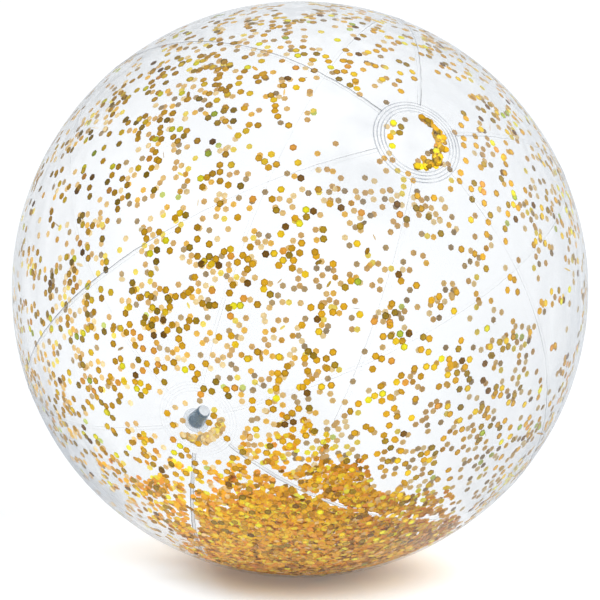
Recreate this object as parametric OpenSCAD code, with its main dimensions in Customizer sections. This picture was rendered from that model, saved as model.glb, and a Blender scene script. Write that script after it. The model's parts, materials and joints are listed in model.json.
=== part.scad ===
// Inflatable beach ball: six welded clear vinyl panels and two end caps, a push-in air
// valve with a tethered plug and a check flap, and loose hexagonal glitter inside.
// +Z is up, and the origin is the middle of the flat patch that the ball rests on.
// Millimetres.

/* [Ball] */
// Outer diameter of the inflated ball
ball_d = 450; // [400:10:500]
// Thickness of the vinyl film
film_t = 0.3; // [0.25:0.05:0.4]
// Width of the lap where a panel runs on under its neighbour
lap_w = 5; // [3:1:8]
// Radius of the flat patch that the ball's own weight presses out
rest_r = 23; // [15:1:28]

/* [Pose] */
// Angle of the line through the two end caps above the horizontal
axis_tilt = 36; // [30:1:42]
// Turn of the panel seams about that line
seam_turn = 5; // [0:1:12]

/* [End caps] */
// Outer radius of an end cap
cap_r = 35; // [33:1:38]
// Radius of the hole in the panels' tips that a cap covers
pocket_r = 25; // [24:0.5:26]
// Radius of the flat middle of a cap
cap_flat_r = 12.5; // [12.5:0.5:15]
// How far the middle of a cap stands out beyond the panels
cap_bulge = 2; // [1:0.5:3]
// Height of a weld ridge
ridge_h = 0.35; // [0.2:0.05:0.5]
// Distance from one weld ridge to the next
ridge_pitch = 2.7; // [2.4:0.1:3]

/* [Valve] */
// Outer radius of the valve's flange
flange_r = 11.5; // [10:0.5:12]
// Thickness of the flange
flange_t = 0.8; // [0.6:0.1:1.2]
// Radius of the opening in the flange
flange_hole_r = 7.6; // [7.4:0.1:8]
// Outer radius of the stem
stem_r = 5; // [4.8:0.1:5.2]
// Radius of the stem's bore
bore_r = 3.5; // [3:0.1:3.8]
// Length of the stem inside the ball when it is pushed in
stem_depth = 18; // [13:1:20]
// Length of the plug inside the bore
plug_l = 7.5; // [6:0.5:9]
// Radius of the plug's head
plug_head_r = 6.2; // [6:0.1:6.6]

/* [Glitter] */
// Size of one flake, corner to corner
flake_d = 6.2; // [5:0.1:6.4]
// Thickness of one flake
flake_t = 0.2; // [0.1:0.05:0.2]
// Points spread over the whole wall for the flakes that cling to it
cling_count = 300; // [120:20:320]
// Flakes caught in the pocket of each end cap
pocket_count = 12; // [6:1:12]
// Depth of the settled glitter in its middle
heap_depth = 3.5; // [2.5:0.5:5]
// Depth of the settled glitter at its edge
heap_edge = 1.2; // [1:0.1:1.5]
// Angle at the ball's centre from the middle of the settled glitter to its edge
heap_angle = 35; // [25:1:38]

/* [Hidden] */
$fn = 180;

gore_count = 6;
gore_angle = 360 / gore_count;
big = 2 * ball_d;
ball_r = ball_d / 2;
inner_r = ball_r - film_t;
lap_inner_r = ball_r - 2 * film_t;
// Height of the ball's centre above the flat patch
centre_z = sqrt(ball_r * ball_r - rest_r * rest_r);
// A lap reaches back this far under its own panel
lap_root = 3;
// The lap's outer sphere is moved sideways, so that it bites into its own panel and dips under
// the neighbour: it crosses the panel's inside this far short of the seam
lap_cross = 1;
lap_shift = 3;
lap_outer_r = sqrt(pow(inner_r, 2) + pow(lap_shift, 2) - 2 * lap_shift * lap_cross);

// A cap lies this far off the panels, so that the two never share material
cap_gap = 0.01;
ridge_w = 1.3;
ridge_count = 4;
ridge_edge = 0.7;
ridge_first_r = cap_r - ridge_edge;
cap_step = 0.65;
cap_hole_r = 8.2;

// Heights in the valve's own frame: +Z outwards, zero on the outside of the rear cap
seat_z = cap_under(0) + film_t;
web_t = 0.45;
web_foot_h = 0.6;
web_short = 2.4;
web_depth = stem_depth - web_short;
stem_sunk = 0.2;
stem_top = flange_t - stem_sunk;
plug_clear = 0.07;
plug_head_t = 1;
plug_tip = 1;
grip_size = [7.5, 1.4, 2];
flap_t = 0.4;
flap_gap = 0.1;
flap_r = stem_r - 0.5;
knuckle_r = 0.35;
knuckle_l = 4;
strap_w = 3;
strap_t = 0.6;
strap_root_z = -3.4;
touch_gap = 0.02;

golden_angle = 180 * (3 - sqrt(5));
wall_gap = 0.1;
// Distance from the ball's centre to the outer face of a flake on the wall
flake_face = sqrt(pow(lap_inner_r - wall_gap, 2) - pow(flake_d / 2, 2));
pocket_face = sqrt(pow(ball_r - wall_gap, 2) - pow(flake_d / 2, 2));
pocket_margin = 0.4;
pocket_arc_r = pocket_r - flake_d / 2 - pocket_margin;
pocket_step = 17.5;
pocket_spin = 30;
// Where the caught flakes lie in each pocket, as a turn about the caps' line
front_pocket_turn = -23;
rear_pocket_turn = -73;
rest_margin = 2;
rest_clear_angle = asin(rest_r / ball_r) + rest_margin;

heap_gap = 0.3;
heap_r = centre_z - film_t - heap_gap;
heap_floor_r = heap_r - heap_depth;
heap_rim_r = heap_r - heap_edge;
heap_rim_z = heap_rim_r * cos(heap_angle);
// The top of the settled glitter is part of a larger sphere, centred this far above the ball's centre
heap_lift = (pow(heap_rim_r, 2) - pow(heap_floor_r, 2)) / (2 * (heap_floor_r - heap_rim_z));

// The caps' line stands along Z in the ball's own frame, with the front cap at +Z
module in_ball() {
    translate([0, 0, centre_z]) rotate([90 - axis_tilt, 0, 0]) children();
}

// The valve's own frame, with +Z outwards through the rear cap
module in_valve() {
    in_ball() rotate([180, 0, 0]) translate([0, 0, seat_z]) children();
}

// Everything above height z in the row's frame, seen from the ball's own frame
module above(z) {
    rotate([axis_tilt - 90, 0, 0]) translate([-big / 2, -big / 2, z - centre_z]) cube(big);
}

module shell(outer, inner) {
    difference() {
        sphere(outer);
        sphere(inner);
    }
}

module cut_tips() {
    difference() {
        children();
        translate([0, 0, -big / 2]) cylinder(r = pocket_r, h = big);
    }
}

// The wedge that one panel fills, from angle 0 to gore_angle
module gore_wedge() {
    translate([0, 0, -big / 2]) linear_extrude(big)
        polygon([[0, 0], [big, 0], [big * cos(gore_angle), big * sin(gore_angle)]]);
}

// The strip of film that runs on under the neighbour, rooted in the panel's own film
module gore_lap() {
    intersection() {
        difference() {
            translate([0, -lap_shift, 0]) sphere(lap_outer_r);
            sphere(lap_inner_r);
        }
        translate([0, -lap_root, -big / 2]) cube([big, lap_root + lap_w, big]);
    }
}

// One panel: a single film from seam to seam, running on under its neighbour one film deeper
module gore(index) {
    color([0.93, 0.95, 0.97, 0.3]) in_ball() rotate([0, 0, seam_turn + gore_angle * (index - 1)])
        cut_tips() {
            intersection() {
                shell(ball_r, inner_r);
                gore_wedge();
            }
            rotate([0, 0, gore_angle]) gore_lap();
        }
}

// The panel that the ball stands on is pressed flat where it meets the ground
module resting_gore(index) {
    color([0.93, 0.95, 0.97, 0.3]) {
        intersection() {
            gore(index);
            in_ball() above(0);
        }
        in_ball() intersection() {
            sphere(ball_r);
            difference() {
                above(0);
                above(film_t);
            }
        }
    }
}

// Height of the underside of a cap at radius r, above the ball's centre
function on_sphere(r) = sqrt(pow(ball_r + cap_gap, 2) - r * r);
function ease(x) = let (c = min(max(x, 0), 1)) c * c * (3 - 2 * c);
function cap_under(r) =
    let (q = max(r, cap_flat_r)) on_sphere(q) + cap_bulge * ease((pocket_r - q) / (pocket_r - cap_flat_r));

// Height of the weld ridges at radius r
function ridge(r) = let (
    nearest = round((ridge_first_r - r) / ridge_pitch),
    k = min(max(nearest, 0), ridge_count - 1),
    off = abs(r - ridge_first_r + k * ridge_pitch)
) off < ridge_w / 2 ? ridge_h * pow(cos(180 * off / ridge_w), 2) : 0;

// A cap is one turned profile: dome and weld band, with an optional hole for the valve
module cap(hole_r) {
    steps = ceil((cap_r - hole_r) / cap_step);
    radii = [for (i = [0:steps]) hole_r + (cap_r - hole_r) * i / steps];
    under = [for (r = radii) [r, cap_under(r)]];
    top = [for (i = [steps:-1:0]) [radii[i], cap_under(radii[i]) + film_t + ridge(radii[i])]];
    color([0.9, 0.93, 0.96, 0.35]) rotate_extrude() polygon(concat(under, top));
}

module front_cap() {
    in_ball() cap(0);
}

module rear_cap() {
    in_ball() rotate([180, 0, 0]) cap(cap_hole_r);
}

module valve_flange() {
    color([0.86, 0.9, 0.95]) in_valve() rotate_extrude() polygon([
        [flange_hole_r, 0], [flange_r, 0], [flange_r, flange_t / 2],
        [flange_r - flange_t / 2, flange_t], [flange_hole_r, flange_t]
    ]);
}

// Thin web that rolls inside out when the stem is pulled up or pushed in
module valve_diaphragm() {
    inside = flange_hole_r - web_t;
    foot_r = stem_r + touch_gap;
    color([0.8, 0.86, 0.93]) in_valve() rotate_extrude() polygon([
        [flange_hole_r, flange_t], [flange_hole_r, -web_t], [stem_r + 2 * web_t, -web_depth - web_foot_h],
        [foot_r, -web_depth - web_foot_h], [foot_r, -web_depth], [stem_r + web_t, -web_depth],
        [inside, -web_t], [inside, flange_t]
    ]);
}

module valve_stem() {
    color([0.62, 0.7, 0.78]) in_valve() difference() {
        translate([0, 0, -stem_depth]) cylinder(r = stem_r, h = stem_depth + stem_top);
        translate([0, 0, -stem_depth - 1]) cylinder(r = bore_r, h = stem_depth + stem_top + 2);
    }
}

// Thin disc that the air inside presses shut against the stem's inner end
module check_flap() {
    top = -stem_depth - flap_gap;
    color([0.75, 0.82, 0.9]) in_valve() {
        translate([0, 0, top - flap_t]) cylinder(r = flap_r, h = flap_t);
        translate([-knuckle_l / 2, flap_r, top - knuckle_r])
            rotate([0, 90, 0]) cylinder(r = knuckle_r, h = knuckle_l);
    }
}

module valve_plug() {
    head_z = stem_top + touch_gap;
    plug_r = bore_r - plug_clear;
    tip_z = head_z - plug_l - plug_tip;
    color([0.5, 0.6, 0.7]) in_valve() {
        translate([0, 0, head_z - plug_l]) cylinder(r = plug_r, h = plug_l + plug_head_t / 2);
        translate([0, 0, tip_z]) cylinder(r1 = plug_r - plug_tip, r2 = plug_r, h = plug_tip);
        translate([0, 0, head_z]) cylinder(r = plug_head_r, h = plug_head_t);
        translate([-grip_size.x / 2, -grip_size.y / 2, head_z + plug_head_t / 2]) cube(grip_size);
    }
}

// Strap between the stem's side and the underside of the plug's head
module plug_strap() {
    root_r = stem_r + touch_gap;
    color([0.62, 0.7, 0.78]) in_valve()
        rotate([90, 0, 180]) translate([0, 0, -strap_w / 2]) linear_extrude(strap_w) polygon([
            [root_r, strap_root_z], [plug_head_r, strap_root_z], [plug_head_r, stem_top],
            [plug_head_r - strap_t, stem_top], [plug_head_r - strap_t, strap_root_z + strap_t],
            [root_r, strap_root_z + strap_t]
        ]);
}

// One flake, flat against the wall in direction [longitude, colatitude]
module flake(longitude, colatitude, face, spin) {
    color([0.83, 0.62, 0.13]) rotate([0, colatitude, longitude]) translate([0, 0, face - flake_t])
        rotate([0, 0, spin]) cylinder(d = flake_d, h = flake_t, $fn = 6);
}

function turn(angle) = angle - 360 * floor(angle / 360);

// Angle between a direction on the wall and the middle of the flat patch
function rest_angle(longitude, colatitude) = acos(
    -sin(axis_tilt) * cos(colatitude) - cos(axis_tilt) * sin(colatitude) * sin(longitude));

// Flakes that static holds on the inside of one panel
module clinging_flakes(index) {
    in_ball() for (i = [0:cling_count - 1]) {
        colatitude = acos(1 - 2 * (i + 0.5) / cling_count);
        longitude = turn(i * golden_angle);
        own_panel = floor(turn(longitude - seam_turn) / gore_angle) == index - 1;
        clear_of_caps = ball_r * sin(colatitude) > cap_r + flake_d;
        if (own_panel && clear_of_caps && rest_angle(longitude, colatitude) > rest_clear_angle)
            flake(longitude, colatitude, flake_face, i * golden_angle);
    }
}

// Flakes caught along one side of a cap's pocket, with their middle at a given longitude
module pocket_flakes(middle) {
    for (i = [0:pocket_count - 1]) {
        longitude = middle + pocket_step * (i - (pocket_count - 1) / 2);
        flake(longitude, asin(pocket_arc_r / ball_r), pocket_face, pocket_spin);
    }
}

module front_pocket_flakes() {
    in_ball() pocket_flakes(front_pocket_turn);
}

module rear_pocket_flakes() {
    in_ball() mirror([0, 0, 1]) pocket_flakes(rear_pocket_turn);
}

// Bulk of the loose flakes, settled on the inside of the wall under their own weight
module glitter_heap() {
    color([0.8, 0.58, 0.1]) translate([0, 0, centre_z]) difference() {
        intersection() {
            sphere(heap_r);
            translate([-big / 2, -big / 2, -big - heap_r * cos(heap_angle)]) cube(big);
        }
        translate([0, 0, heap_lift]) sphere(heap_floor_r + heap_lift);
    }
}

gore(1);  // gore_1
gore(2);  // gore_2
gore(3);  // gore_3
gore(4);  // gore_4
resting_gore(5);  // gore_5
gore(6);  // gore_6
front_cap();
rear_cap();
valve_flange();
valve_diaphragm();
valve_stem();
check_flap();
valve_plug();
plug_strap();
clinging_flakes(1);  // clinging_flakes_1
clinging_flakes(2);  // clinging_flakes_2
clinging_flakes(3);  // clinging_flakes_3
clinging_flakes(4);  // clinging_flakes_4
clinging_flakes(5);  // clinging_flakes_5
clinging_flakes(6);  // clinging_flakes_6
front_pocket_flakes();
rear_pocket_flakes();
glitter_heap();
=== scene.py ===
import json
import math
import random

import bpy
from mathutils import Matrix, Vector, noise


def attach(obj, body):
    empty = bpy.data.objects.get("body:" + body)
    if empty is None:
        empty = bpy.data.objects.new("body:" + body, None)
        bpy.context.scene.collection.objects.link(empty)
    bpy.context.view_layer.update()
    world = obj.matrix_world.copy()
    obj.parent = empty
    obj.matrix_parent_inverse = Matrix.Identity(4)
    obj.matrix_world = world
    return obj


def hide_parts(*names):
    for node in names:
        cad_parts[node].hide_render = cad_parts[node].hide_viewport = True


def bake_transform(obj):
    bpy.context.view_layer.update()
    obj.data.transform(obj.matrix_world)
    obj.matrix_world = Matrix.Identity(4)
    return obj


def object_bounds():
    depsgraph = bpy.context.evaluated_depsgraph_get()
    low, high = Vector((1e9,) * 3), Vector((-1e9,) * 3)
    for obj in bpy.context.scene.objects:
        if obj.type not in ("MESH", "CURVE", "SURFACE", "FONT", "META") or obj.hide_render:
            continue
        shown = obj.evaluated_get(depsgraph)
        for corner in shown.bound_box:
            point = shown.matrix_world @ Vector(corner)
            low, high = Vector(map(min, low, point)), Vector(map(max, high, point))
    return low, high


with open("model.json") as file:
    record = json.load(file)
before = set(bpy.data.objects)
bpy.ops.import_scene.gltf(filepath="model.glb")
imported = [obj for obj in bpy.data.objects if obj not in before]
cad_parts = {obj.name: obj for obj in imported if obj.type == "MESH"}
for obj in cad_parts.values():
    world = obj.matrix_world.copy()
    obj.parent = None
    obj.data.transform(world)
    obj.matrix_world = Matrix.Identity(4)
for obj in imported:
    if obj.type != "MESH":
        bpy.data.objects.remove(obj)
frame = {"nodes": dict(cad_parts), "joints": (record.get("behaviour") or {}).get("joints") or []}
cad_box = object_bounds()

# ---- Sizes and places, in metres ----

MM = 0.001
JOINTS = {joint["name"]: joint for joint in frame["joints"]}
CENTRE = Vector(JOINTS["glitter_roll"]["pos_m"])
VALVE_WAY = Vector(JOINTS["valve_pop_out"]["axis"]).normalized()
BALL_R = round((cad_box[1].x - cad_box[0].x) / 2, 3)
DOWN = Vector((0, 0, -1))

# The ball's own frame: Z runs from the valve's cap to the plain cap, through the ball's centre
ACROSS = Vector((1, 0, 0))
BALL = Matrix((ACROSS, -VALVE_WAY.cross(ACROSS), -VALVE_WAY)).transposed()
TO_BALL = BALL.transposed()

GORES = 6
GORE_ANGLE = 2 * math.pi / GORES
SEAM_TURN = math.radians(5)
FILM_T = 0.3 * MM
LAP_W = 5 * MM
CAP_R = 35 * MM
POCKET_R = 25 * MM

FLANGE_T = 0.8 * MM
FLANGE_HOLE_R = 7.6 * MM
STEM_R = 5 * MM
STEM_DEPTH = 18 * MM
STEM_TOP = 0.6 * MM
PLUG_HEAD_R = 6.2 * MM

FLAKE_R = 2.95 * MM
FLAKE_T = 0.12 * MM


def rear_cap_outside():
    """Distance from the ball's centre to the outside of the rear cap, under the flange."""
    flange = frame["nodes"]["valve_flange"].data
    return max((vertex.co - CENTRE).dot(VALVE_WAY) for vertex in flange.vertices) - FLANGE_T


VALVE_SEAT = rear_cap_outside()


def on_ball(longitude, colatitude, radius=BALL_R):
    """The point at that place on a sphere about the ball's centre, in the shared frame."""
    flat = math.sin(colatitude)
    local = Vector((flat * math.cos(longitude), flat * math.sin(longitude), math.cos(colatitude)))
    return CENTRE + BALL @ local * radius


def by_valve(turn, radius, height):
    """A point by the valve's line; height is measured outwards from the rear cap's outside."""
    side = BALL @ Vector((math.cos(turn), math.sin(turn), 0))
    return CENTRE + VALVE_WAY * (VALVE_SEAT + height) + side * radius


def toward(azimuth, elevation):
    """The direction at that compass angle from +X and that height, both in degrees."""
    a, e = math.radians(azimuth), math.radians(elevation)
    return Vector((math.cos(a) * math.cos(e), math.sin(a) * math.cos(e), math.sin(e)))


def smooth(low, high, x):
    """Rises smoothly from 0 to 1 as x goes from low to high."""
    x = min(max((x - low) / (high - low), 0), 1)
    return x * x * (3 - 2 * x)


def between(stops, x):
    """The value at x of a line through the given (x, value) stops."""
    for (x0, y0), (x1, y1) in zip(stops, stops[1:]):
        if x < x1:
            return y0 + (y1 - y0) * max(x - x0, 0) / (x1 - x0)
    return stops[-1][1]


# ---- Camera, lights and floor ----

VIEW_AZIMUTH = math.radians(-28.2)
VIEW_ELEVATION = math.radians(8)
VIEW_DISTANCE = 11.5 * BALL_R
SENSOR = 36
# The ball's width and its height above the frame's middle, as shares of the frame's width
BALL_SHARE = 0.9617
ABOVE_MIDDLE = 0.0175
# Rays pass this many clear surfaces, and flakes between them, before they stop
CLEAR_SURFACES = 64
LIGHT_WAY = (0.9, -0.55, 0.75)
LIGHT_WIDTH = 50
LIGHT_COLOUR = (0.87, 0.95, 1)
# The room's light on the right and on the left
ROOM_RIGHT = 1
ROOM_LEFT = 0.22
FLOOR_R = 14
FLOOR_DROP = 0.5 * MM
# The floor's glow, which is painted light: under the ball, where it is low so the ball's shadow stays
# dark, in a ring round it, where it washes out the shadow's wide fringe, and further off, and where it
# changes
GLOW_UNDER = 0.12
GLOW_RING = 0.42
GLOW_FAR = 0.21
RING_START = (0.05, 0.15)
RING_END = (0.22, 0.34)
LEFT = Vector((-math.cos(VIEW_AZIMUTH), -math.sin(VIEW_AZIMUTH), 0))
# The way in which the film's rim gets painted shade, low on the left
LOW_LEFT = (LEFT + 0.8 * DOWN).normalized()


def make_camera():
    """A long lens that the ball fills, a little above the middle of the frame."""
    back = Vector((
        math.sin(VIEW_AZIMUTH) * math.cos(VIEW_ELEVATION),
        -math.cos(VIEW_AZIMUTH) * math.cos(VIEW_ELEVATION),
        math.sin(VIEW_ELEVATION),
    ))
    half_angle = math.asin(BALL_R / VIEW_DISTANCE)
    frame_width = 2 * VIEW_DISTANCE * math.tan(half_angle) / BALL_SHARE
    up = (Vector((0, 0, 1)) - back * back.z).normalized()
    target = CENTRE - up * ABOVE_MIDDLE * frame_width
    camera = bpy.data.objects.new("camera", bpy.data.cameras.new("camera"))
    camera.data.sensor_width = SENSOR
    camera.data.lens = SENSOR * BALL_SHARE / (2 * math.tan(half_angle))
    camera.data.clip_end = 100
    camera.location = CENTRE + back * VIEW_DISTANCE
    camera.rotation_euler = (target - camera.location).to_track_quat("-Z", "Y").to_euler()
    bpy.context.scene.collection.objects.link(camera)
    bpy.context.scene.camera = camera


def make_key_light():
    """Soft cool light from the right, as wide in degrees as a large diffuser looks."""
    lamp = bpy.data.lights.new("key", "SUN")
    lamp.angle = math.radians(LIGHT_WIDTH)
    lamp.energy = 1.0
    lamp.color = LIGHT_COLOUR
    light = bpy.data.objects.new("key", lamp)
    light.location = CENTRE + Vector(LIGHT_WAY).normalized() * VIEW_DISTANCE
    light.rotation_euler = (CENTRE - light.location).to_track_quat("-Z", "Y").to_euler()
    bpy.context.scene.collection.objects.link(light)


def make_studio():
    """A room that looks white to the camera all round, and gives less light on the left."""
    scene = bpy.context.scene
    scene.view_settings.view_transform = "Standard"
    scene.cycles.transparent_max_bounces = CLEAR_SURFACES
    world = bpy.data.worlds.new("studio")
    world.use_nodes = True
    tree = world.node_tree
    side = node(tree, "ShaderNodeVectorMath", operation="DOT_PRODUCT")
    wire(tree, side.inputs[0], places(tree, "Generated"))
    side.inputs[1].default_value = LEFT
    light = mapped(tree, side.outputs["Value"], 0, 0.9, ROOM_RIGHT, ROOM_LEFT)
    seen = node(tree, "ShaderNodeLightPath").outputs["Is Camera Ray"]
    wire(tree, tree.nodes["Background"].inputs["Strength"], sums(tree, "MAXIMUM", light, seen))
    tree.nodes["Background"].inputs["Color"].default_value = (1, 1, 1, 1)
    scene.world = world


def make_floor():
    """A white floor with a faint glow of its own, which is painted light: weakest under the ball, so
    the ball's shadow stays dark, and strongest in a ring round the ball, which washes out the
    shadow's wide fringe.
    """
    bpy.ops.mesh.primitive_circle_add(vertices=128, radius=FLOOR_R, fill_type="NGON")
    floor = bpy.context.object
    floor.name = "floor"
    floor.location.z = -FLOOR_DROP
    material, shader = plain_material("floor_white")
    tree = material.node_tree
    shader.inputs["Base Color"].default_value = (0.88, 0.885, 0.89, 1)
    shader.inputs["Roughness"].default_value = 0.9
    shader.inputs["Specular IOR Level"].default_value = 0.1
    # A faintly cool glow: painted light that takes the warm tint out of the ball's shadow
    shader.inputs["Emission Color"].default_value = (0.975, 0.99, 1.015, 1)
    reach = node(tree, "ShaderNodeVectorMath", operation="LENGTH")
    wire(tree, reach.inputs[0], places(tree))
    near = mapped(tree, reach.outputs["Value"], *RING_START, GLOW_UNDER, GLOW_RING)
    far = mapped(tree, reach.outputs["Value"], *RING_END, 0, GLOW_FAR - GLOW_RING)
    wire(tree, shader.inputs["Emission Strength"], sums(tree, "ADD", near, far))
    floor.data.materials.append(material)


# ---- Material helpers ----


def plain_material(name):
    """A new material and its Principled shader."""
    material = bpy.data.materials.new(name)
    material.use_nodes = True
    return material, material.node_tree.nodes["Principled BSDF"]


def node(tree, kind, **settings):
    """A new shader node with the given settings."""
    made = tree.nodes.new(kind)
    for name, value in settings.items():
        setattr(made, name, value)
    return made


def wire(tree, socket, value):
    """Feeds a socket from another socket, or sets it."""
    if isinstance(value, bpy.types.NodeSocket):
        tree.links.new(value, socket)
    else:
        socket.default_value = value


def sums(tree, operation, a, b=0.0, c=0.0):
    """The output of one Math node."""
    made = node(tree, "ShaderNodeMath", operation=operation)
    for socket, value in zip(made.inputs, (a, b, c)):
        wire(tree, socket, value)
    return made.outputs["Value"]


def stepped(tree, factor, stops):
    """One of the colours, each from its place in the (place, colour) stops up to the next."""
    made = node(tree, "ShaderNodeValToRGB")
    made.color_ramp.interpolation = "CONSTANT"
    while len(made.color_ramp.elements) > 1:
        made.color_ramp.elements.remove(made.color_ramp.elements[0])
    made.color_ramp.elements[0].position = stops[0][0]
    made.color_ramp.elements[0].color = (*stops[0][1], 1)
    for place, colour in stops[1:]:
        made.color_ramp.elements.new(place).color = (*colour, 1)
    wire(tree, made.inputs["Fac"], factor)
    return made.outputs["Color"]


def places(tree, kind="Object"):
    """Positions on the object, which lies in the shared frame, or directions in the world."""
    return node(tree, "ShaderNodeTexCoord").outputs[kind]


def noise_value(tree, scale, detail, where=None):
    """Cloudy values from 0 to 1, at the object's own places unless others are given."""
    made = node(tree, "ShaderNodeTexNoise")
    made.inputs["Scale"].default_value = scale
    made.inputs["Detail"].default_value = detail
    wire(tree, made.inputs["Vector"], where or places(tree))
    return made.outputs["Fac"]


def mapped(tree, value, low, high, at_low, at_high):
    """A smooth step between two results as the value goes from low to high."""
    made = node(tree, "ShaderNodeMapRange", interpolation_type="SMOOTHSTEP")
    wire(tree, made.inputs["Value"], value)
    made.inputs["From Min"].default_value = low
    made.inputs["From Max"].default_value = high
    made.inputs["To Min"].default_value = at_low
    made.inputs["To Max"].default_value = at_high
    return made.outputs["Result"]


def from_centre(tree):
    """The way from the ball's centre to a place on the object."""
    offset = node(tree, "ShaderNodeVectorMath", operation="SUBTRACT")
    wire(tree, offset.inputs[0], places(tree))
    offset.inputs[1].default_value = CENTRE
    return offset.outputs[0]


def along_ball(tree, way, start, end, at_start, at_end):
    """A value that changes smoothly along a direction from the ball's centre, between two
    shares of its radius."""
    made = node(tree, "ShaderNodeVectorMath", operation="DOT_PRODUCT")
    tree.links.new(from_centre(tree), made.inputs[0])
    made.inputs[1].default_value = way
    return mapped(tree, made.outputs["Value"], start * BALL_R, end * BALL_R, at_start, at_end)


def value_of(tree, name):
    """A number stored on the mesh."""
    return node(tree, "ShaderNodeAttribute", attribute_name=name).outputs["Fac"]


def grazing(tree):
    """0 where the surface is met head on, 1 where it is met edge on."""
    made = node(tree, "ShaderNodeLayerWeight")
    made.inputs["Blend"].default_value = 0.5
    return made.outputs["Facing"]


def shaded(tree, colour, factor):
    """A colour made lighter or darker by a factor."""
    made = node(tree, "ShaderNodeVectorMath", operation="SCALE")
    wire(tree, made.inputs[0], colour)
    wire(tree, made.inputs["Scale"], factor)
    return made.outputs["Vector"]


def bumped(tree, shader, height, distance):
    """Gives a shader a bump of that height and depth."""
    made = node(tree, "ShaderNodeBump")
    made.inputs["Distance"].default_value = distance
    wire(tree, made.inputs["Height"], height)
    tree.links.new(made.outputs["Normal"], shader.inputs["Normal"])


def see_through(name, colour, roughness, opacity, grain=None):
    """A clear material that shows its own colour as far as opacity(tree), from 0 to 1, says.
    A grain gives it slightly uneven colour and a faint bump at that scale."""
    material, shader = plain_material(name)
    tree = material.node_tree
    shader.inputs["Base Color"].default_value = (*colour, 1)
    shader.inputs["Roughness"].default_value = roughness
    if grain:
        cloud = noise_value(tree, grain, 3.0)
        uneven = sums(tree, "MULTIPLY_ADD", cloud, 0.8, 0.6)
        wire(tree, shader.inputs["Base Color"], shaded(tree, colour, uneven))
        bumped(tree, shader, cloud, 0.4 * MM)
    clear = node(tree, "ShaderNodeBsdfTransparent")
    mix = node(tree, "ShaderNodeMixShader")
    wire(tree, mix.inputs["Fac"], opacity(tree))
    tree.links.new(clear.outputs[0], mix.inputs[1])
    tree.links.new(shader.outputs[0], mix.inputs[2])
    tree.links.new(mix.outputs[0], tree.nodes["Material Output"].inputs["Surface"])
    return material


# ---- Materials ----

# Haze of the film met edge on, and anywhere
RIM_HAZE = 0.22
LEAST_HAZE = 0.014
# A cloudy patch of painted shade beside the plain cap
CAP_SIDE_SHADE_WAY = toward(-107, 36)
CAP_TINT = (0.28, 0.31, 0.36)


def film_opacity(tree):
    """A faint haziness that thickens at a slant, in streaks along the ball, with cloudy smeared
    patches, a painted bluish reflection towards the right, cloudy painted shade round the plain
    cap and in a patch beside it, and painted shade low down. Film that laps under another panel adds
    little."""
    along = node(tree, "ShaderNodeMapping")
    along.inputs["Rotation"].default_value = TO_BALL.to_euler()
    along.inputs["Scale"].default_value = (1, 1, 0.12)
    wire(tree, along.inputs["Vector"], places(tree))
    streak = sums(tree, "MULTIPLY_ADD", noise_value(tree, 70.0, 3.0, along.outputs["Vector"]), 2.2, -0.1)
    # The rim is greyer low on the left, which is painted shade, and clearer in front of the heap
    rim = sums(tree, "MULTIPLY", sums(tree, "POWER", grazing(tree), 2.8), RIM_HAZE)
    rim = sums(tree, "MULTIPLY", rim, along_ball(tree, LOW_LEFT, 0.85, 1, 1, 2.3))
    rim = sums(tree, "MULTIPLY", rim, along_ball(tree, DOWN, 0.65, 0.95, 1, 0.5))
    smears_and_cap_shade = sums(tree, "MULTIPLY_ADD", noise_value(tree, 5.0, 3.0), 0.25, -0.115)
    # Painted shade that grows towards the bottom
    low_painted_shade = along_ball(tree, DOWN, 0.2, 0.85, 0, 0.010)
    # A painted bluish reflection that grows towards the right
    right_painted_reflection = along_ball(tree, -LEFT, 0.1, 0.75, 0, 0.022)
    # Painted shade round the plain cap and in a patch beside it, broken into clouds
    cap_painted_shade = along_ball(tree, -VALVE_WAY, 0.9, 0.98, 0, 0.16)
    cap_side_shade = along_ball(tree, CAP_SIDE_SHADE_WAY, 0.95, 1, 0, 0.45)
    cap_painted_shade = sums(tree, "ADD", cap_painted_shade, cap_side_shade)
    cloud = sums(tree, "MAXIMUM", sums(tree, "SUBTRACT", noise_value(tree, 16.0, 2.0), 0.4), 0.0)
    smears_and_cap_shade = sums(tree, "MULTIPLY_ADD", cap_painted_shade, cloud, sums(tree, "MAXIMUM", smears_and_cap_shade, LEAST_HAZE))
    # The film's own smeary clouding, with the painted shade and the painted reflection added
    haze_and_painted_light = sums(tree, "ADD", smears_and_cap_shade, sums(tree, "ADD", low_painted_shade, right_painted_reflection))
    film = sums(tree, "ADD", sums(tree, "MULTIPLY", rim, streak), haze_and_painted_light)
    return sums(tree, "MULTIPLY", film, sums(tree, "MULTIPLY_ADD", value_of(tree, "lap"), -0.85, 1.0))


def axis_distance(tree):
    """Distance from the line through both caps, in metres."""
    cross = node(tree, "ShaderNodeVectorMath", operation="CROSS_PRODUCT")
    tree.links.new(from_centre(tree), cross.inputs[0])
    cross.inputs[1].default_value = VALVE_WAY
    length = node(tree, "ShaderNodeVectorMath", operation="LENGTH")
    tree.links.new(cross.outputs[0], length.inputs[0])
    return length.outputs["Value"]


RIDGE_FIRST_R = CAP_R - 0.7 * MM
RIDGE_PITCH = 2.7 * MM
RIDGES = 4
# A grey line's half width, as a share of the pitch
RIDGE_LINE = 0.24


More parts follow.
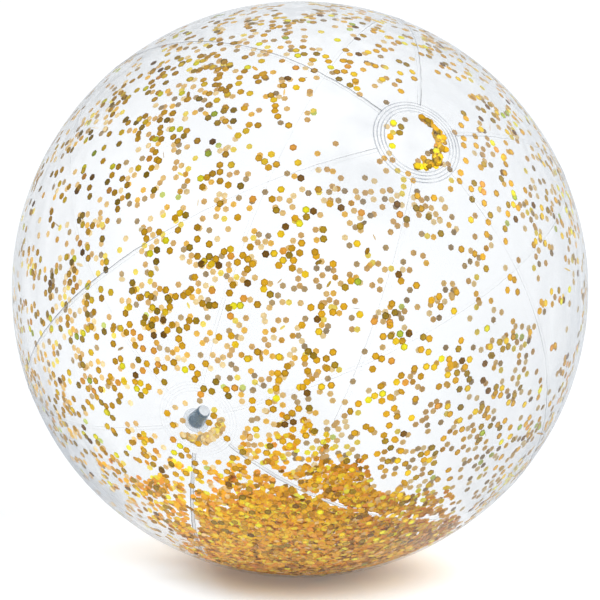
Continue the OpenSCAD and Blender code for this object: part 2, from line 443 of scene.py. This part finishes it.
def cap_opacity(tree, show):
    """Film inside the panels' ends, and a grey line of painted shade on every weld ridge, for the
    darkening that the ridge's refraction gives.
    """
    steps = sums(tree, "DIVIDE", sums(tree, "SUBTRACT", RIDGE_FIRST_R, axis_distance(tree)), RIDGE_PITCH)
    off = sums(tree, "ABSOLUTE", sums(tree, "SUBTRACT", steps, sums(tree, "ROUND", steps)))
    line = sums(tree, "MAXIMUM", sums(tree, "SUBTRACT", 1.0, sums(tree, "DIVIDE", off, RIDGE_LINE)), 0.0)
    inside = sums(tree, "LESS_THAN", steps, RIDGES - 0.5)
    # The painted shade lines come and go along each ring
    ring_line_patches = sums(tree, "MULTIPLY_ADD", noise_value(tree, 70.0, 3.0), 2.2, -0.5)
    line = sums(tree, "MULTIPLY", sums(tree, "MULTIPLY", line, inside), sums(tree, "MAXIMUM", ring_line_patches, 0.15))
    alone = sums(tree, "LESS_THAN", axis_distance(tree), POCKET_R)
    film = sums(tree, "MULTIPLY", film_opacity(tree), alone)
    return sums(tree, "ADD", film, sums(tree, "MULTIPLY", line, show))


def weld_opacity(tree):
    """A thin grey line of painted shade, for the shadow line at the weld's edge, that comes and
    goes along the seam, as strong as the mesh says.
    """
    patchy = sums(tree, "MULTIPLY_ADD", noise_value(tree, 30.0, 3.0), 2.4, -0.6)
    return sums(tree, "MULTIPLY", sums(tree, "MAXIMUM", patchy, 0.05), value_of(tree, "show"))


def band_opacity(tree):
    """Cloudy frosting, only where the weld shows plainly."""
    cloud = noise_value(tree, 40.0, 2.0)
    return sums(tree, "MULTIPLY", cloud, sums(tree, "POWER", value_of(tree, "show"), 3.0))


def steady(value):
    """An opacity that grows a little at a slant."""
    return lambda tree: sums(tree, "MULTIPLY_ADD", grazing(tree), (1 - value) * 0.5, value)


# Outer faces, which lie against the film, are deep gold; inner faces are paler
OUTER_GOLD = [
    (0.00, (0.80, 0.42, 0.006)),
    (0.28, (0.62, 0.32, 0.006)),
    (0.47, (0.47, 0.28, 0.008)),
    (0.57, (0.33, 0.20, 0.006)),
    (0.65, (0.21, 0.095, 0.004)),
    (0.70, (0.95, 0.62, 0.010)),
    (0.87, (0.95, 0.84, 0.012)),
    (0.94, (0.86, 0.38, 0.04)),
    (0.985, (0.46, 0.54, 0.03)),
]
INNER_GOLD = [
    (0.00, (0.84, 0.59, 0.24)),
    (0.20, (0.70, 0.45, 0.17)),
    (0.38, (0.94, 0.75, 0.40)),
    (0.54, (0.52, 0.38, 0.19)),
    (0.65, (0.40, 0.30, 0.17)),
    (0.73, (0.92, 0.56, 0.10)),
    (0.84, (0.95, 0.78, 0.14)),
    (0.94, (0.66, 0.36, 0.05)),
    (0.98, (0.62, 0.72, 0.20)),
]
HEAP_GOLD = [
    (0.00, (0.96, 0.50, 0.016)),
    (0.26, (0.84, 0.37, 0.010)),
    (0.44, (0.60, 0.28, 0.008)),
    (0.56, (0.98, 0.70, 0.03)),
    (0.70, (0.92, 0.37, 0.04)),
    (0.82, (0.40, 0.20, 0.006)),
    (0.90, (0.90, 0.60, 0.25)),
    (0.96, (0.95, 0.88, 0.06)),
]


def flake_material(name, stops, metallic, roughness, edge_shade):
    """Metallised film, each flake in one of the given golds, with painted shade on the rim where
    its edge curls.
    """
    material, shader = plain_material(name)
    tree = material.node_tree
    gold = stepped(tree, value_of(tree, "tone"), stops)
    uneven = sums(tree, "MULTIPLY_ADD", noise_value(tree, 320.0, 1.0), 0.5, 0.78)
    # Painted shade on each flake's curled rim
    edge = sums(tree, "MULTIPLY_ADD", value_of(tree, "edge"), -edge_shade, 1.0)
    wire(tree, shader.inputs["Base Color"], shaded(tree, gold, sums(tree, "MULTIPLY", uneven, edge)))
    shader.inputs["Metallic"].default_value = metallic
    shader.inputs["Roughness"].default_value = roughness
    shader.inputs["Specular IOR Level"].default_value = 0.1
    return material


def make_materials():
    """Every material, by the name that the pieces ask for."""
    return {
        "film": see_through("clear_film", (0.29, 0.34, 0.41), 0.25, film_opacity),
        "cap": see_through("cap_film", CAP_TINT, 0.25, lambda tree: cap_opacity(tree, 0.62)),
        "rear_cap": see_through("rear_cap_film", CAP_TINT, 0.25, lambda tree: cap_opacity(tree, 0.08)),
        # The welds' grey lines are painted shade; the frosted band between them is the weld's own
        "weld": see_through("weld_line", (0.16, 0.17, 0.19), 0.3, weld_opacity),
        "band": see_through("weld_band", (0.62, 0.64, 0.67), 0.4, band_opacity),
        "soft": see_through("soft_vinyl", (0.66, 0.76, 0.88), 0.2, steady(0.22), 120.0),
        "web": see_through("web_vinyl", (0.27, 0.40, 0.53), 0.25, steady(0.3), 120.0),
        # The check flap is pale and nearly opaque: painted light, for the bright disc that the flap shows
        # in the valve's end
        "flap": see_through("flap_vinyl_painted_light", (0.86, 0.92, 1.0), 0.15, steady(0.8), 160.0),
        "stem": see_through("stem_vinyl", (0.26, 0.38, 0.51), 0.25, steady(0.55), 140.0),
        "plug": see_through("plug_vinyl", (0.25, 0.33, 0.42), 0.25, steady(0.75), 140.0),
        "outer": flake_material("flake_outer", OUTER_GOLD, 0.3, 0.35, 0.42),
        "inner": flake_material("flake_inner", INNER_GOLD, 0.15, 0.4, 0.2),
        "heap": flake_material("flake_heap", HEAP_GOLD, 0.4, 0.35, 0.0),
    }


# ---- Mesh helpers ----

SHARP = math.radians(62)


def make_piece(name, points, faces, materials, slots=None, smooth_faces=True):
    """A new mesh object; slots gives the material of each face."""
    mesh = bpy.data.meshes.new(name)
    mesh.from_pydata(points, [], faces)
    for material in materials:
        mesh.materials.append(material)
    if slots:
        mesh.polygons.foreach_set("material_index", slots)
    mesh.polygons.foreach_set("use_smooth", [smooth_faces] * len(faces))
    mesh.update()
    if smooth_faces:
        mesh.set_sharp_from_angle(angle=SHARP)
    piece = bpy.data.objects.new(name, mesh)
    bpy.context.scene.collection.objects.link(piece)
    return piece


def keep_numbers(piece, name, domain, values):
    """Stores a number for each point or face, which materials read."""
    layer = piece.data.attributes.new(name, "FLOAT", domain)
    layer.data.foreach_set("value", values)


def closed_sheet(outer, inner):
    """Points and faces of a closed thin sheet from two matching grids of points."""
    rows, columns = len(outer), len(outer[0])
    points = [p for row in outer for p in row] + [p for row in inner for p in row]
    under = rows * columns
    faces = []
    for i in range(rows - 1):
        for j in range(columns - 1):
            a = i * columns + j
            b = a + columns
            faces.append((a, b, b + 1, a + 1))
            faces.append((under + a, under + a + 1, under + b + 1, under + b))
    rim = list(range(columns))
    rim += [i * columns + columns - 1 for i in range(1, rows)]
    rim += [(rows - 1) * columns + j for j in range(columns - 2, -1, -1)]
    rim += [i * columns for i in range(rows - 2, 0, -1)]
    for a, b in zip(rim, rim[1:] + rim[:1]):
        faces.append((a, b, under + b, under + a))
    return points, faces


# ---- Film ----

SEAM_PUCKER = 0.3 * MM
CAP_PUCKER = 0.5 * MM
# How far the puckers reach from a seam and from a cap
SEAM_REACH = 11 * MM
CAP_REACH = 16 * MM
SEAM_WAVE = 2.4 * MM
CAP_WAVES = 22
# How far the whole wall wanders from a true sphere
WALL_WANDER = 0.25 * MM
# Spacing of a panel's mesh
CELL = 4 * MM
# Clearance between a panel and the lap under it
LAP_GAP = 0.05 * MM


def film_dip(longitude, colatitude):
    """How far the film stands off its true sphere, by puckers beside the seams and round the caps."""
    ring = BALL_R * math.sin(colatitude)
    along = BALL_R * colatitude
    turns = (longitude - SEAM_TURN) / GORE_ANGLE
    beside = abs(turns - round(turns)) * GORE_ANGLE * ring
    where = on_ball(longitude, colatitude) * 14
    drift = noise.noise(where)
    strength = smooth(-0.35, 0.45, noise.noise(where * 0.7 + Vector((7, 3, 1))))
    phase = along / SEAM_WAVE + 4 * drift
    seam = SEAM_PUCKER * strength * math.exp(-beside / SEAM_REACH) * math.sin(phase)
    outside = max(ring - CAP_R, 0)
    cap = CAP_PUCKER * math.exp(-outside / CAP_REACH) * math.sin(longitude * CAP_WAVES + 5 * drift)
    return seam + cap + WALL_WANDER * drift


def film_point(longitude, colatitude, depth):
    """A point on the film, depth below its outside, flat where the ball rests on the floor."""
    point = on_ball(longitude, colatitude, BALL_R + film_dip(longitude, colatitude) - depth)
    point.z = max(point.z, max(depth, 0))
    return point


def make_gore(index, material):
    """One film panel with its lap, which dips under the next panel."""
    start = SEAM_TURN + index * GORE_ANGLE
    tip = math.asin(POCKET_R / BALL_R)
    rows = round(BALL_R * (math.pi - 2 * tip) / CELL)
    columns = round(BALL_R * GORE_ANGLE / CELL)
    outer, inner = [], []
    for i in range(rows + 1):
        colatitude = tip + (math.pi - 2 * tip) * i / rows
        ring = BALL_R * math.sin(colatitude)
        stops = [(GORE_ANGLE - MM / ring) * j / columns for j in range(columns + 1)]
        depths = [0] * (columns + 1)
        for past in (0.4 * MM, LAP_W / 2, LAP_W):
            stops.append(GORE_ANGLE + past / ring)
            depths.append(FILM_T + LAP_GAP)
        outer.append([film_point(start + x, colatitude, d) for x, d in zip(stops, depths)])
        inner.append([film_point(start + x, colatitude, d + FILM_T) for x, d in zip(stops, depths)])
    points, faces = closed_sheet(outer, inner)
    piece = make_piece(f"film_panel_{index + 1}", points, faces, [material])
    keep_numbers(piece, "lap", "POINT", [float(d > 0) for d in depths] * (rows + 1) * 2)
    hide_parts(f"gore_{index + 1}")
    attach(piece, "ball")


WELD_W = 3.4 * MM
BEAD_W = 0.6 * MM
BEAD_H = 0.15 * MM
BAND_H = 0.04 * MM
WELD_WANDER = 0.35 * MM
# How strong a weld's second line is beside its first, by the angle in degrees from the plain cap
SECOND_LINE = ((9, 0.3), (118, 0.3), (134, 0.9), (171, 0.9))
# How plainly each weld's painted shade line shows, by the angle in degrees from the plain cap
WELD_SHOW = (
    ((9, 0.60), (22, 0.30), (60, 0.22), (75, 0.10), (171, 0.10)),
    ((9, 0.75), (24, 0.45), (70, 0.30), (90, 0.10), (171, 0.10)),
    ((9, 0.90), (25, 0.65), (75, 0.75), (100, 0.20), (120, 0.10), (171, 0.10)),
    ((9, 0.5), (22, 0.25), (32, 0.07), (46, 0.15), (60, 0.6), (80, 0.9), (108, 0.9), (120, 0.12),
     (171, 0.1)),
    ((9, 0.16), (80, 0.16), (105, 0.35), (128, 0.50), (140, 0.90), (171, 0.85)),
    ((9, 0.20), (35, 0.15), (60, 0.50), (90, 0.50), (110, 0.15), (122, 0.8), (171, 0.6)),
)


def make_seam_weld(index, materials):
    """The welded band along one seam: a frosted strip between two raised lines, which are grey
    with painted shade.
    """
    seam = SEAM_TURN + index * GORE_ANGLE
    tip = math.asin((CAP_R - MM) / BALL_R)
    rows = round(BALL_R * (math.pi - 2 * tip) / (2 * MM))
    profile = [
        (0, BAND_H), (BEAD_W * 0.25, BEAD_H), (BEAD_W * 0.75, BEAD_H), (BEAD_W, BAND_H),
        (WELD_W - BEAD_W * 0.6, BAND_H), (WELD_W - BEAD_W * 0.3, BEAD_H * 0.6), (WELD_W, BAND_H),
    ]
    outer, inner, show = [], [], []
    for i in range(rows + 1):
        colatitude = tip + (math.pi - 2 * tip) * i / rows
        ring = BALL_R * math.sin(colatitude)
        wander = WELD_WANDER * noise.noise(Vector((index * 9.1, colatitude * 12, 0)))
        across = [seam + (x + wander) / ring for x, _ in profile]
        outer.append([film_point(x, colatitude, -h) for x, (_, h) in zip(across, profile)])
        inner.append([film_point(x, colatitude, 0.02 * MM) for x in across])
        plain = between(WELD_SHOW[index], math.degrees(colatitude))
        second = between(SECOND_LINE, math.degrees(colatitude))
        show += [plain] * 4 + [plain * second] * 3
    points, faces = closed_sheet(outer, inner)
    strips = len(profile) - 1
    # Only the strip between the raised lines is frosted
    is_band = [0, 0, 0, 1, 0, 0]
    slots = []
    for _ in range(rows):
        for j in range(strips):
            slots += [is_band[j]] * 2
    slots += [0] * (len(faces) - len(slots))
    piece = make_piece(f"seam_weld_{index + 1}", points, faces, materials, slots)
    keep_numbers(piece, "show", "POINT", show * 2)
    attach(piece, "ball")


# ---- Flakes ----

# The flat middle of a curled flake, as a share of its radius
FLAT_SHARE = 0.68
CURL_H = 0.05 * MM


def flake_ring(centre, normal, spin, radius):
    """The six corners of a flake."""
    side = normal.orthogonal().normalized()
    other = normal.cross(side)
    corners = []
    for k in range(6):
        a = spin + k * math.pi / 3
        corners.append(centre + (side * math.cos(a) + other * math.sin(a)) * radius)
    return corners


def flakes_piece(name, flakes, materials, body, replaced, curled=True):
    """One object that holds separate thin six-sided flakes, given as (centre, normal, spin, tone).
    A curled flake's outer face has a flat middle and a rim that bends a little inwards."""
    points, faces, slots, tones, edges = [], [], [], [], []
    for centre, normal, spin, tone in flakes:
        normal = normal.normalized()
        # How strongly this flake's curled rim gets painted shade
        curl = 0.25 + 0.75 * (tone * 37 % 1)
        a = len(points)
        points += flake_ring(centre + normal * FLAKE_T / 2, normal, spin, FLAKE_R)
        points += flake_ring(centre - normal * FLAKE_T / 2, normal, spin, FLAKE_R)
        faces.append(tuple(range(a + 11, a + 5, -1)))
        slots.append(1)
        edges.append(0)
        if curled:
            raised = centre + normal * (FLAKE_T / 2 + CURL_H)
            points += flake_ring(raised, normal, spin, FLAKE_R * FLAT_SHARE)
            faces.append(tuple(range(a + 12, a + 18)))
        else:
            faces.append(tuple(range(a, a + 6)))
        slots.append(0)
        edges.append(0)
        for k in range(6):
            n = (k + 1) % 6
            faces.append((a + k, a + 6 + k, a + 6 + n, a + n))
            slots.append(0)
            edges.append(curl)
            if curled:
                faces.append((a + 12 + k, a + k, a + n, a + 12 + n))
                slots.append(0)
                edges.append(curl)
        tones += [tone] * (len(faces) - len(tones))
    piece = make_piece(name, points, faces, materials, slots, smooth_faces=False)
    keep_numbers(piece, "tone", "FACE", tones)
    keep_numbers(piece, "edge", "FACE", edges)
    if replaced:
        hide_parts(replaced)
    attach(piece, body)


def tilted(normal, angle, rng):
    """The normal, leaned by an angle in a random direction."""
    side = normal.orthogonal().normalized()
    turn = Matrix.Rotation(rng.uniform(0, 2 * math.pi), 3, normal)
    return Matrix.Rotation(angle, 3, turn @ side) @ normal


def make_flake(spot, direction, lean, rng):
    """A flake leaned off a direction, with a random spin and tone."""
    return spot, tilted(direction, lean, rng), rng.uniform(0, math.pi / 3), rng.random()


def off_seam(direction):
    """Distance along the wall from a direction to the middle of the nearest weld, less than
    zero on the side where the weld begins."""
    local = TO_BALL @ direction
    ring = BALL_R * math.hypot(local.x, local.y)
    turns = (math.atan2(local.y, local.x) - SEAM_TURN - WELD_W / 2 / max(ring, MM)) / GORE_ANGLE
    return (turns - round(turns)) * GORE_ANGLE * ring


def on_weld(direction):
    """Whether a loose flake in that direction would lie over a weld or the step before it."""
    return -WELD_W / 2 - 1.3 * FLAKE_R < off_seam(direction) < WELD_W / 2 + 0.3 * FLAKE_R


CLING_COUNT = 3560
CLING_R = BALL_R - 0.98 * MM
SEAM_CLEAR = WELD_W / 2 + 0.6 * FLAKE_R
# The least distance between flakes that don't cover each other
CLOSEST = 4.7 * MM
# How many flakes a group may have, and how far they lie from its middle
GROUPS = (1, 1, 1, 2, 3, 4, 6)
GROUP_REACH = 12 * MM
CHAIN_CHANCE = 0.25
ON_EDGE_CHANCE = 0.025
# Chances that a flake stays over a seam, or over another flake
SEAM_CHANCE = 0.4
COVER_CHANCE = 0.12
# Chance that loose flakes keep off a weld
WELD_BARE = 0.93
REST_ANGLE = math.radians(9)
HEAP_ANGLE = math.radians(35)
# Flakes that stand on edge keep out of the heap's way as it rolls about the Y axis
HEAP_SWEEP = math.sin(HEAP_ANGLE) + 0.03
# Richer and barer places: a direction, its reach in degrees, and how much it adds
DRIFTS = (
    (toward(46, -46), 17, 0.5), (toward(91, -45), 19, 0.5), (toward(-2, -48), 18, 0.5),
    (toward(125, -12), 20, 0.3), (toward(-160, 42), 18, 0.4), (toward(-161, -6), 18, 0.7),
    (toward(70, -38), 14, 0.7), (toward(95, 33), 16, 0.6), (toward(62, -6), 32, 0.3),
    (toward(50, 29), 11, -0.9), (toward(-106, 39), 9, -0.9), (toward(-109, 31), 8, -0.7),
    (toward(-76, -36), 9, -0.2), (toward(170, -45), 14, -0.4), (toward(-74, 45), 8, -0.7),
    (toward(-141, 0), 12, 0.5), (toward(88, -14), 14, 0.5), (toward(113, -20), 13, 0.5),
    (toward(-120, -8), 10, 0.6), (toward(64, -26), 11, 0.4), (toward(-127, 13), 8, 0.5),
    (toward(-161, 15), 8, 0.4), (toward(110, 5), 9, 0.4), (toward(84, 1), 7, -0.3),
    (toward(-118, 25), 8, 0.35), (toward(-100, -4), 8, 0.4), (toward(18, 38), 8, -0.3),
    (toward(-148, -27), 9, 0.6), (toward(-155, -40), 9, 0.4),
)
# How thickly flakes cling in bare places, and how much more thickly in crowded ones
CROWD_LEAST = 0.3
CROWD_MORE = 0.42


def crowding(direction):
    """How thickly flakes cling in a direction from the ball's centre, from 0 to 1."""
    broad = noise.noise(direction * 2.6 + Vector((3.1, 8.7, 5.2)))
    fine = noise.noise(direction * 8 + Vector((1.7, 4.4, 9.8)))
    crowd = CROWD_LEAST + CROWD_MORE * smooth(-0.4, 0.4, broad * 0.8 + 0.8 * fine)
    for way, reach, gain in DRIFTS:
        crowd += gain * (1 - smooth(0.4, 1, math.degrees(direction.angle(way)) / reach))
    return crowd


def off_caps(direction):
    """Whether a flake in that direction is clear of both caps."""
    cap_angle = math.asin((CAP_R + FLAKE_R) / BALL_R)
    return min(direction.angle(VALVE_WAY), direction.angle(-VALVE_WAY)) > cap_angle


def may_cling(direction, rng):
    """Whether a flake may cling in that direction: never on a cap, and seldom on a seam."""
    return off_caps(direction) and (abs(off_seam(direction)) > SEAM_CLEAR or rng.random() < SEAM_CHANCE)


def off_floor(direction):
    """Whether a flake in that direction is clear of the flat place where the ball rests."""
    return direction.angle(DOWN) > REST_ANGLE


class Spacing:
    """Remembers where flakes lie, to keep new ones from covering them."""

    def __init__(self, closest):
        self.closest = closest
        self.cells = {}

    def cell(self, p):
        return tuple(math.floor(x / self.closest) for x in p)

    def free(self, p):
        x, y, z = self.cell(p)
        for key in ((x + i, y + j, z + k) for i in (-1, 0, 1) for j in (-1, 0, 1) for k in (-1, 0, 1)):
            for q in self.cells.get(key, ()):
                if (p - q).length < self.closest:
                    return False
        return True

    def add(self, p):
        self.cells.setdefault(self.cell(p), []).append(p)


def scatter_cling(rng):
    """Flakes that static holds on the wall, alone, in small groups and in short chains."""
    flakes = []
    spacing = Spacing(CLOSEST)
    while len(flakes) < CLING_COUNT:
        direction = Vector([rng.gauss(0, 1) for _ in range(3)]).normalized()
        if rng.random() > crowding(direction):
            continue
        middle = direction
        in_chain = rng.random() < CHAIN_CHANCE
        for _ in range(rng.choice(GROUPS)):
            lean = abs(rng.gauss(0, math.radians(3)))
            if rng.random() < ON_EDGE_CHANCE and abs(direction.y) > HEAP_SWEEP:
                lean = math.radians(rng.uniform(45, 85))
            height = FLAKE_R * math.sin(lean) + rng.uniform(-0.12, 0.12) * MM
            spot = CENTRE + direction * (CLING_R - height)
            clear = may_cling(direction, rng) and off_floor(direction)
            if clear and (spacing.free(spot) or rng.random() < COVER_CHANCE):
                spacing.add(spot)
                flakes.append(make_flake(spot, direction, lean, rng))
            if in_chain:
                direction = tilted(direction, rng.uniform(4.8, 7.6) * MM / BALL_R, rng)
            else:
                direction = tilted(middle, abs(rng.gauss(0, GROUP_REACH)) / BALL_R, rng)
    return flakes


def make_clinging(materials, rng):
    """The clinging flakes, one object for each panel that they cling to."""
    groups = [[] for _ in range(GORES)]
    for flake in scatter_cling(rng):
        local = TO_BALL @ (flake[0] - CENTRE)
        longitude = math.atan2(local.y, local.x) - SEAM_TURN
        groups[int(longitude % (2 * math.pi) / GORE_ANGLE)].append(flake)
    for index, group in enumerate(groups):
        flakes_piece(f"clinging_glitter_{index + 1}", group, materials, "ball",
                     f"clinging_flakes_{index + 1}")


# How far flakes lean that lie loose on the wall or in a pocket, in degrees
LOOSE_LEAN = 14
# Loose flakes that have slid up the far wall: a direction, its reach in degrees and their number
BANKS = (
    (toward(48, -53), 7, 110), (toward(52, -59), 11, 330), (toward(80, -58), 12, 330),
    (toward(104, -56), 10, 110), (toward(120, -50), 14, 70), (toward(8, -59), 9, 110),
    (toward(66, -46), 10, 90), (toward(40, -62), 8, 120), (toward(125, -56), 9, 100),
)


def make_banks(material, rng):
    """Loose flakes that lie on the wall above the heap, and stay with the ball."""
    flakes = []
    for way, reach, count in BANKS:
        for _ in range(count):
            direction = tilted(way, math.radians(reach) * rng.random() ** 0.6, rng)
            if not off_caps(direction) or (on_weld(direction) and rng.random() < WELD_BARE):
                continue
            spot = CENTRE + direction * (CLING_R - rng.random() * 0.9 * MM)
            lean = math.radians(rng.uniform(0, LOOSE_LEAN))
            flakes.append(make_flake(spot, direction, lean, rng))
    flakes_piece("banked_glitter", flakes, [material, material], "ball", None, curled=False)


HEAP_COUNT = 7600
# How far the heap reaches, as a share of its full angle, by compass angle in degrees from +X
HEAP_SHARE = (
    (0, 1.0), (62, 1.0), (120, 0.92), (150, 0.72), (200, 0.70), (240, 0.88), (300, 0.97), (360, 1.0),
)
HEAP_R = CENTRE.z - 0.7 * MM
HEAP_DEPTH = 3.5 * MM
HEAP_EDGE = 1.2 * MM
# How far inside and outside its edge the heap thins out, and how ragged the edge is, as shares
# of the heap's angle
FADE_INSIDE = 0.22
FADE_OUTSIDE = 0.06
RAGGED = 0.2
# Where the heap is thin enough for a weld to show through, as a share of its angle
HEAP_THIN = 0.35
# Sine of the steepest lean of a flake in the heap
STEEPEST = 0.7


def heap_room(share, direction):
    """The heap's depth there, less over a weld where the heap is thin."""
    room = HEAP_DEPTH + (HEAP_EDGE - HEAP_DEPTH) * share * share
    if share > HEAP_THIN:
        room = min(room, HEAP_EDGE + max(abs(off_seam(direction)) - WELD_W / 2 - FLAKE_R, 0))
    return room


def make_heap(material, rng):
    """Loose flakes settled in the bottom of the ball, flat against the film and jumbled above it."""
    flakes = []
    while len(flakes) < HEAP_COUNT:
        off_middle = math.acos(1 - rng.random() * (1 - math.cos(HEAP_ANGLE)))
        azimuth = rng.uniform(0, 2 * math.pi)
        flat = Vector((math.cos(azimuth), math.sin(azimuth), 0))
        direction = flat * math.sin(off_middle) + DOWN * math.cos(off_middle)
        share = off_middle / HEAP_ANGLE
        ragged = noise.noise(Vector((math.cos(azimuth) * 4, math.sin(azimuth) * 4, 4)))
        edge = between(HEAP_SHARE, math.degrees(azimuth)) * (1 + min(0, RAGGED * ragged))
        if share > 1 or rng.random() < smooth(edge - FADE_INSIDE, edge + FADE_OUTSIDE, share):
            continue
        if share > HEAP_THIN and on_weld(direction) and rng.random() < WELD_BARE:
            continue
        room = heap_room(share, direction)
        height = rng.random() * room
        lean = math.asin(min(room / (2 * FLAKE_R), STEEPEST)) * rng.random()
        reach = FLAKE_R * math.sin(lean)
        height = min(max(height, reach), max(room - reach, reach))
        spot = CENTRE + direction * (HEAP_R - height)
        flakes.append(make_flake(spot, direction, lean, rng))
    flakes_piece("loose_glitter", flakes, [material, material], "glitter", "glitter_heap",
                 curled=False)


POCKET_COUNT = 95
# Share of a pocket's flakes that lie outside its crescent
STRAY_SHARE = 0.15
CRESCENT_W = 6.5 * MM


def make_pocket(end, pole, middle, spread, materials, rng):
    """Flakes caught in a crescent along one side of a cap's pocket, thickest in its middle."""
    flakes = []
    for _ in range(POCKET_COUNT):
        off = rng.uniform(-1, 1)
        longitude = math.radians(middle) + math.radians(spread) * off
        thick = CRESCENT_W * (1 - off * off) + MM
        ring = POCKET_R - FLAKE_R + 0.8 * MM - rng.random() * thick
        if rng.random() < STRAY_SHARE:
            longitude = rng.uniform(0, 2 * math.pi)
            ring = (POCKET_R - FLAKE_R) * rng.uniform(0.6, 1)
        colatitude = math.asin(ring / BALL_R)
        if pole < 0:
            colatitude = math.pi - colatitude
        spot = on_ball(longitude, colatitude, BALL_R - 0.2 * MM + rng.random() * MM)
        lean = math.radians(rng.uniform(0, LOOSE_LEAN))
        flakes.append(make_flake(spot, (spot - CENTRE).normalized(), lean, rng))
    flakes_piece(f"{end}_pocket_glitter", flakes, materials, "ball", f"{end}_pocket_flakes")


# ---- Valve ----

WEB_T = 0.45 * MM
WEB_SHORT = 2.4 * MM
WEB_FOOT_H = 0.6 * MM
STRAP_W = 3 * MM
STRAP_T = 0.5 * MM
STRAP_ROOT = 3.3 * MM
# Clearance between the stem and what is joined to it
STEM_GAP = 0.03 * MM
TURNS = 64


def make_web(material):
    """The thin cone between the flange and the stem, slightly bowed, which turns inside out."""
    foot = STEM_DEPTH - WEB_SHORT
    steps = 10
    outside, inside = [], []
    for k in range(steps + 1):
        t = k / steps
        bow = 0.2 * MM * math.sin(math.pi * t)
        radius = FLANGE_HOLE_R + (STEM_R + 1.6 * WEB_T - FLANGE_HOLE_R) * t - bow
        height = -WEB_T - (foot + WEB_FOOT_H - WEB_T) * t
        outside.append((radius, height))
        inside.append((max(radius - WEB_T, STEM_R + 0.04 * MM), max(height, -foot)))
    foot_r = STEM_R + STEM_GAP
    profile = [(FLANGE_HOLE_R, FLANGE_T), *outside, (foot_r, -foot - WEB_FOOT_H), (foot_r, -foot)]
    profile += [*reversed(inside), (FLANGE_HOLE_R - WEB_T, FLANGE_T)]
    points, faces = [], []
    count = len(profile)
    for i in range(TURNS):
        points += [by_valve(2 * math.pi * i / TURNS, r, h) for r, h in profile]
        a, b = i * count, (i + 1) % TURNS * count
        for j in range(count):
            n = (j + 1) % count
            faces.append((a + j, b + j, b + n, a + n))
    piece = make_piece("valve_web", points, faces, [material])
    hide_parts("valve_diaphragm")
    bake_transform(piece)


def make_strap(material):
    """The plug's strap: out from the stem's side, then up to the underside of the plug's head."""
    path = [
        (STEM_R + STEM_GAP, -STRAP_ROOT), (STEM_R + 0.5 * MM, -STRAP_ROOT), (STEM_R + 0.8 * MM, -2.9 * MM),
        (STEM_R + 0.92 * MM, -2.3 * MM), (STEM_R + 0.85 * MM, -1.2 * MM), (STEM_R + 0.92 * MM, -0.2 * MM),
        (PLUG_HEAD_R - STRAP_T / 2, STEM_TOP),
    ]
    outer, inner = [], []
    for k, (r, h) in enumerate(path):
        before, after = path[max(k - 1, 0)], path[min(k + 1, len(path) - 1)]
        run = Vector((after[0] - before[0], after[1] - before[1])).normalized() * STRAP_T / 2
        for grid, sign in ((outer, 1), (inner, -1)):
            radius = max(r + run.y * sign, STEM_R + STEM_GAP)
            middle = by_valve(-math.pi / 2, radius, h - run.x * sign)
            grid.append([middle + ACROSS * STRAP_W * (j / 6 - 0.5) for j in range(7)])
    points, faces = closed_sheet(outer, inner)
    piece = make_piece("strap_ribbon", points, faces, [material])
    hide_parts("plug_strap")
    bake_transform(piece)


def dress(name, material):
    """Gives a carried-over CAD piece its material."""
    piece = frame["nodes"][name]
    piece.data.materials.clear()
    piece.data.materials.append(material)


SEED = 71


def main():
    """Builds every piece; the flakes draw their random numbers in this order."""
    rng = random.Random(SEED)
    make_camera()
    make_studio()
    make_key_light()
    make_floor()
    materials = make_materials()
    for index in range(GORES):
        make_gore(index, materials["film"])
        make_seam_weld(index, [materials["weld"], materials["band"]])
    dress("front_cap", materials["cap"])
    dress("rear_cap", materials["rear_cap"])
    dress("valve_flange", materials["soft"])
    dress("valve_stem", materials["stem"])
    dress("valve_plug", materials["plug"])
    dress("check_flap", materials["flap"])
    make_web(materials["web"])
    make_strap(materials["stem"])
    flake_sides = [materials["outer"], materials["inner"]]
    make_clinging(flake_sides, rng)
    make_pocket("front", 1, -23, 88, flake_sides, rng)
    make_pocket("rear", -1, -73, 75, flake_sides, rng)
    make_banks(materials["heap"], rng)
    make_heap(materials["heap"], rng)


main()
